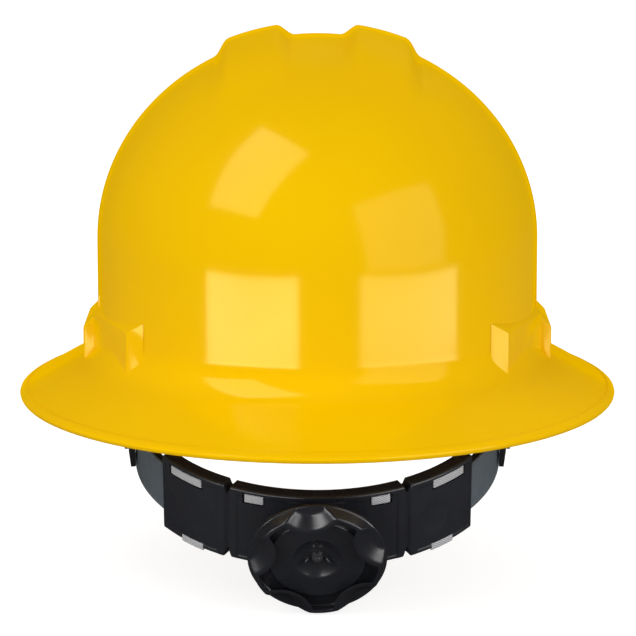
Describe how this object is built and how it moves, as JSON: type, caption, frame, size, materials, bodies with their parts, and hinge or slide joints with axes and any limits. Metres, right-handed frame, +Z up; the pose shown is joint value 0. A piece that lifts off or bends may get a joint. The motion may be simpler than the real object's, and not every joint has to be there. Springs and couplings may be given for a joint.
{
  "type": "full brim hard hat",
  "caption": "Full brim safety helmet with a ridged dome, a rolled lip, side slots and a strap suspension with a ratchet headband.",
  "frame": {"origin": "centre of the head opening, in the plane of the brim's edge", "axes": "+Z up through the crown, +Y towards the wearer's face, +X towards the wearer's right hand"},
  "size_m": [0.2742, 0.3162, 0.2465],
  "materials": {
    "shell_yellow": "gloss",
    "suspension_nylon": "satin",
    "webbing": "woven",
    "band_grey": "satin",
    "brow_fabric": "knitted",
    "nape_black": "satin",
    "pad_grey": "woven",
    "knob_black": "satin",
    "screw_steel": "bright"
  },
  "bodies": {
    "shell_body": {"shell": "shell_yellow", "key_front_left": "suspension_nylon", "key_front_right": "suspension_nylon", "key_rear_left": "suspension_nylon", "key_rear_right": "suspension_nylon", "crown_strap_upper": "webbing", "crown_strap_lower": "webbing", "crown_patch": "webbing"},
    "headband_body": {"headband": "band_grey", "height_studs": "suspension_nylon", "brow_pad": "brow_fabric", "nape_cover": "nape_black", "nape_back_plate": "nape_black", "nape_pad": "pad_grey", "pad_tabs": "pad_grey", "ratchet_ring": "nape_black"},
    "knob_body": {"knob": "knob_black", "pinion": "knob_black", "pawl_plate": "knob_black", "knob_screw": "screw_steel"},
    "rack_left_body": {"rack_left": "band_grey"},
    "rack_right_body": {"rack_right": "band_grey"}
  },
  "joints": [
    {"name": "headband_height", "type": "slide", "parent": "shell_body", "child": "headband_body", "axis": [0, -0.309, 0.9511], "range_m": [-0.005, 0.005]},
    {"name": "knob_turn", "type": "hinge", "parent": "headband_body", "child": "knob_body", "pos_m": [0, -0.10842, -0.04643], "axis": [0, -0.8829, -0.4695], "range_deg": [-183.35, 217.72]},
    {"name": "rack_left_run", "type": "hinge", "parent": "headband_body", "child": "rack_left_body", "pos_m": [0, -0.03234, -0.02171], "axis": [0, -0.309, 0.9511], "range_deg": [-13.64, 11.48]},
    {"name": "rack_right_run", "type": "hinge", "parent": "headband_body", "child": "rack_right_body", "pos_m": [0, -0.03234, -0.02171], "axis": [0, -0.309, 0.9511], "range_deg": [-11.48, 13.64]}
  ],
  "couplings": [
    {"joint": "rack_left_run", "follows": "knob_turn", "ratio": -0.0625},
    {"joint": "rack_right_run", "follows": "knob_turn", "ratio": 0.0625}
  ]
}
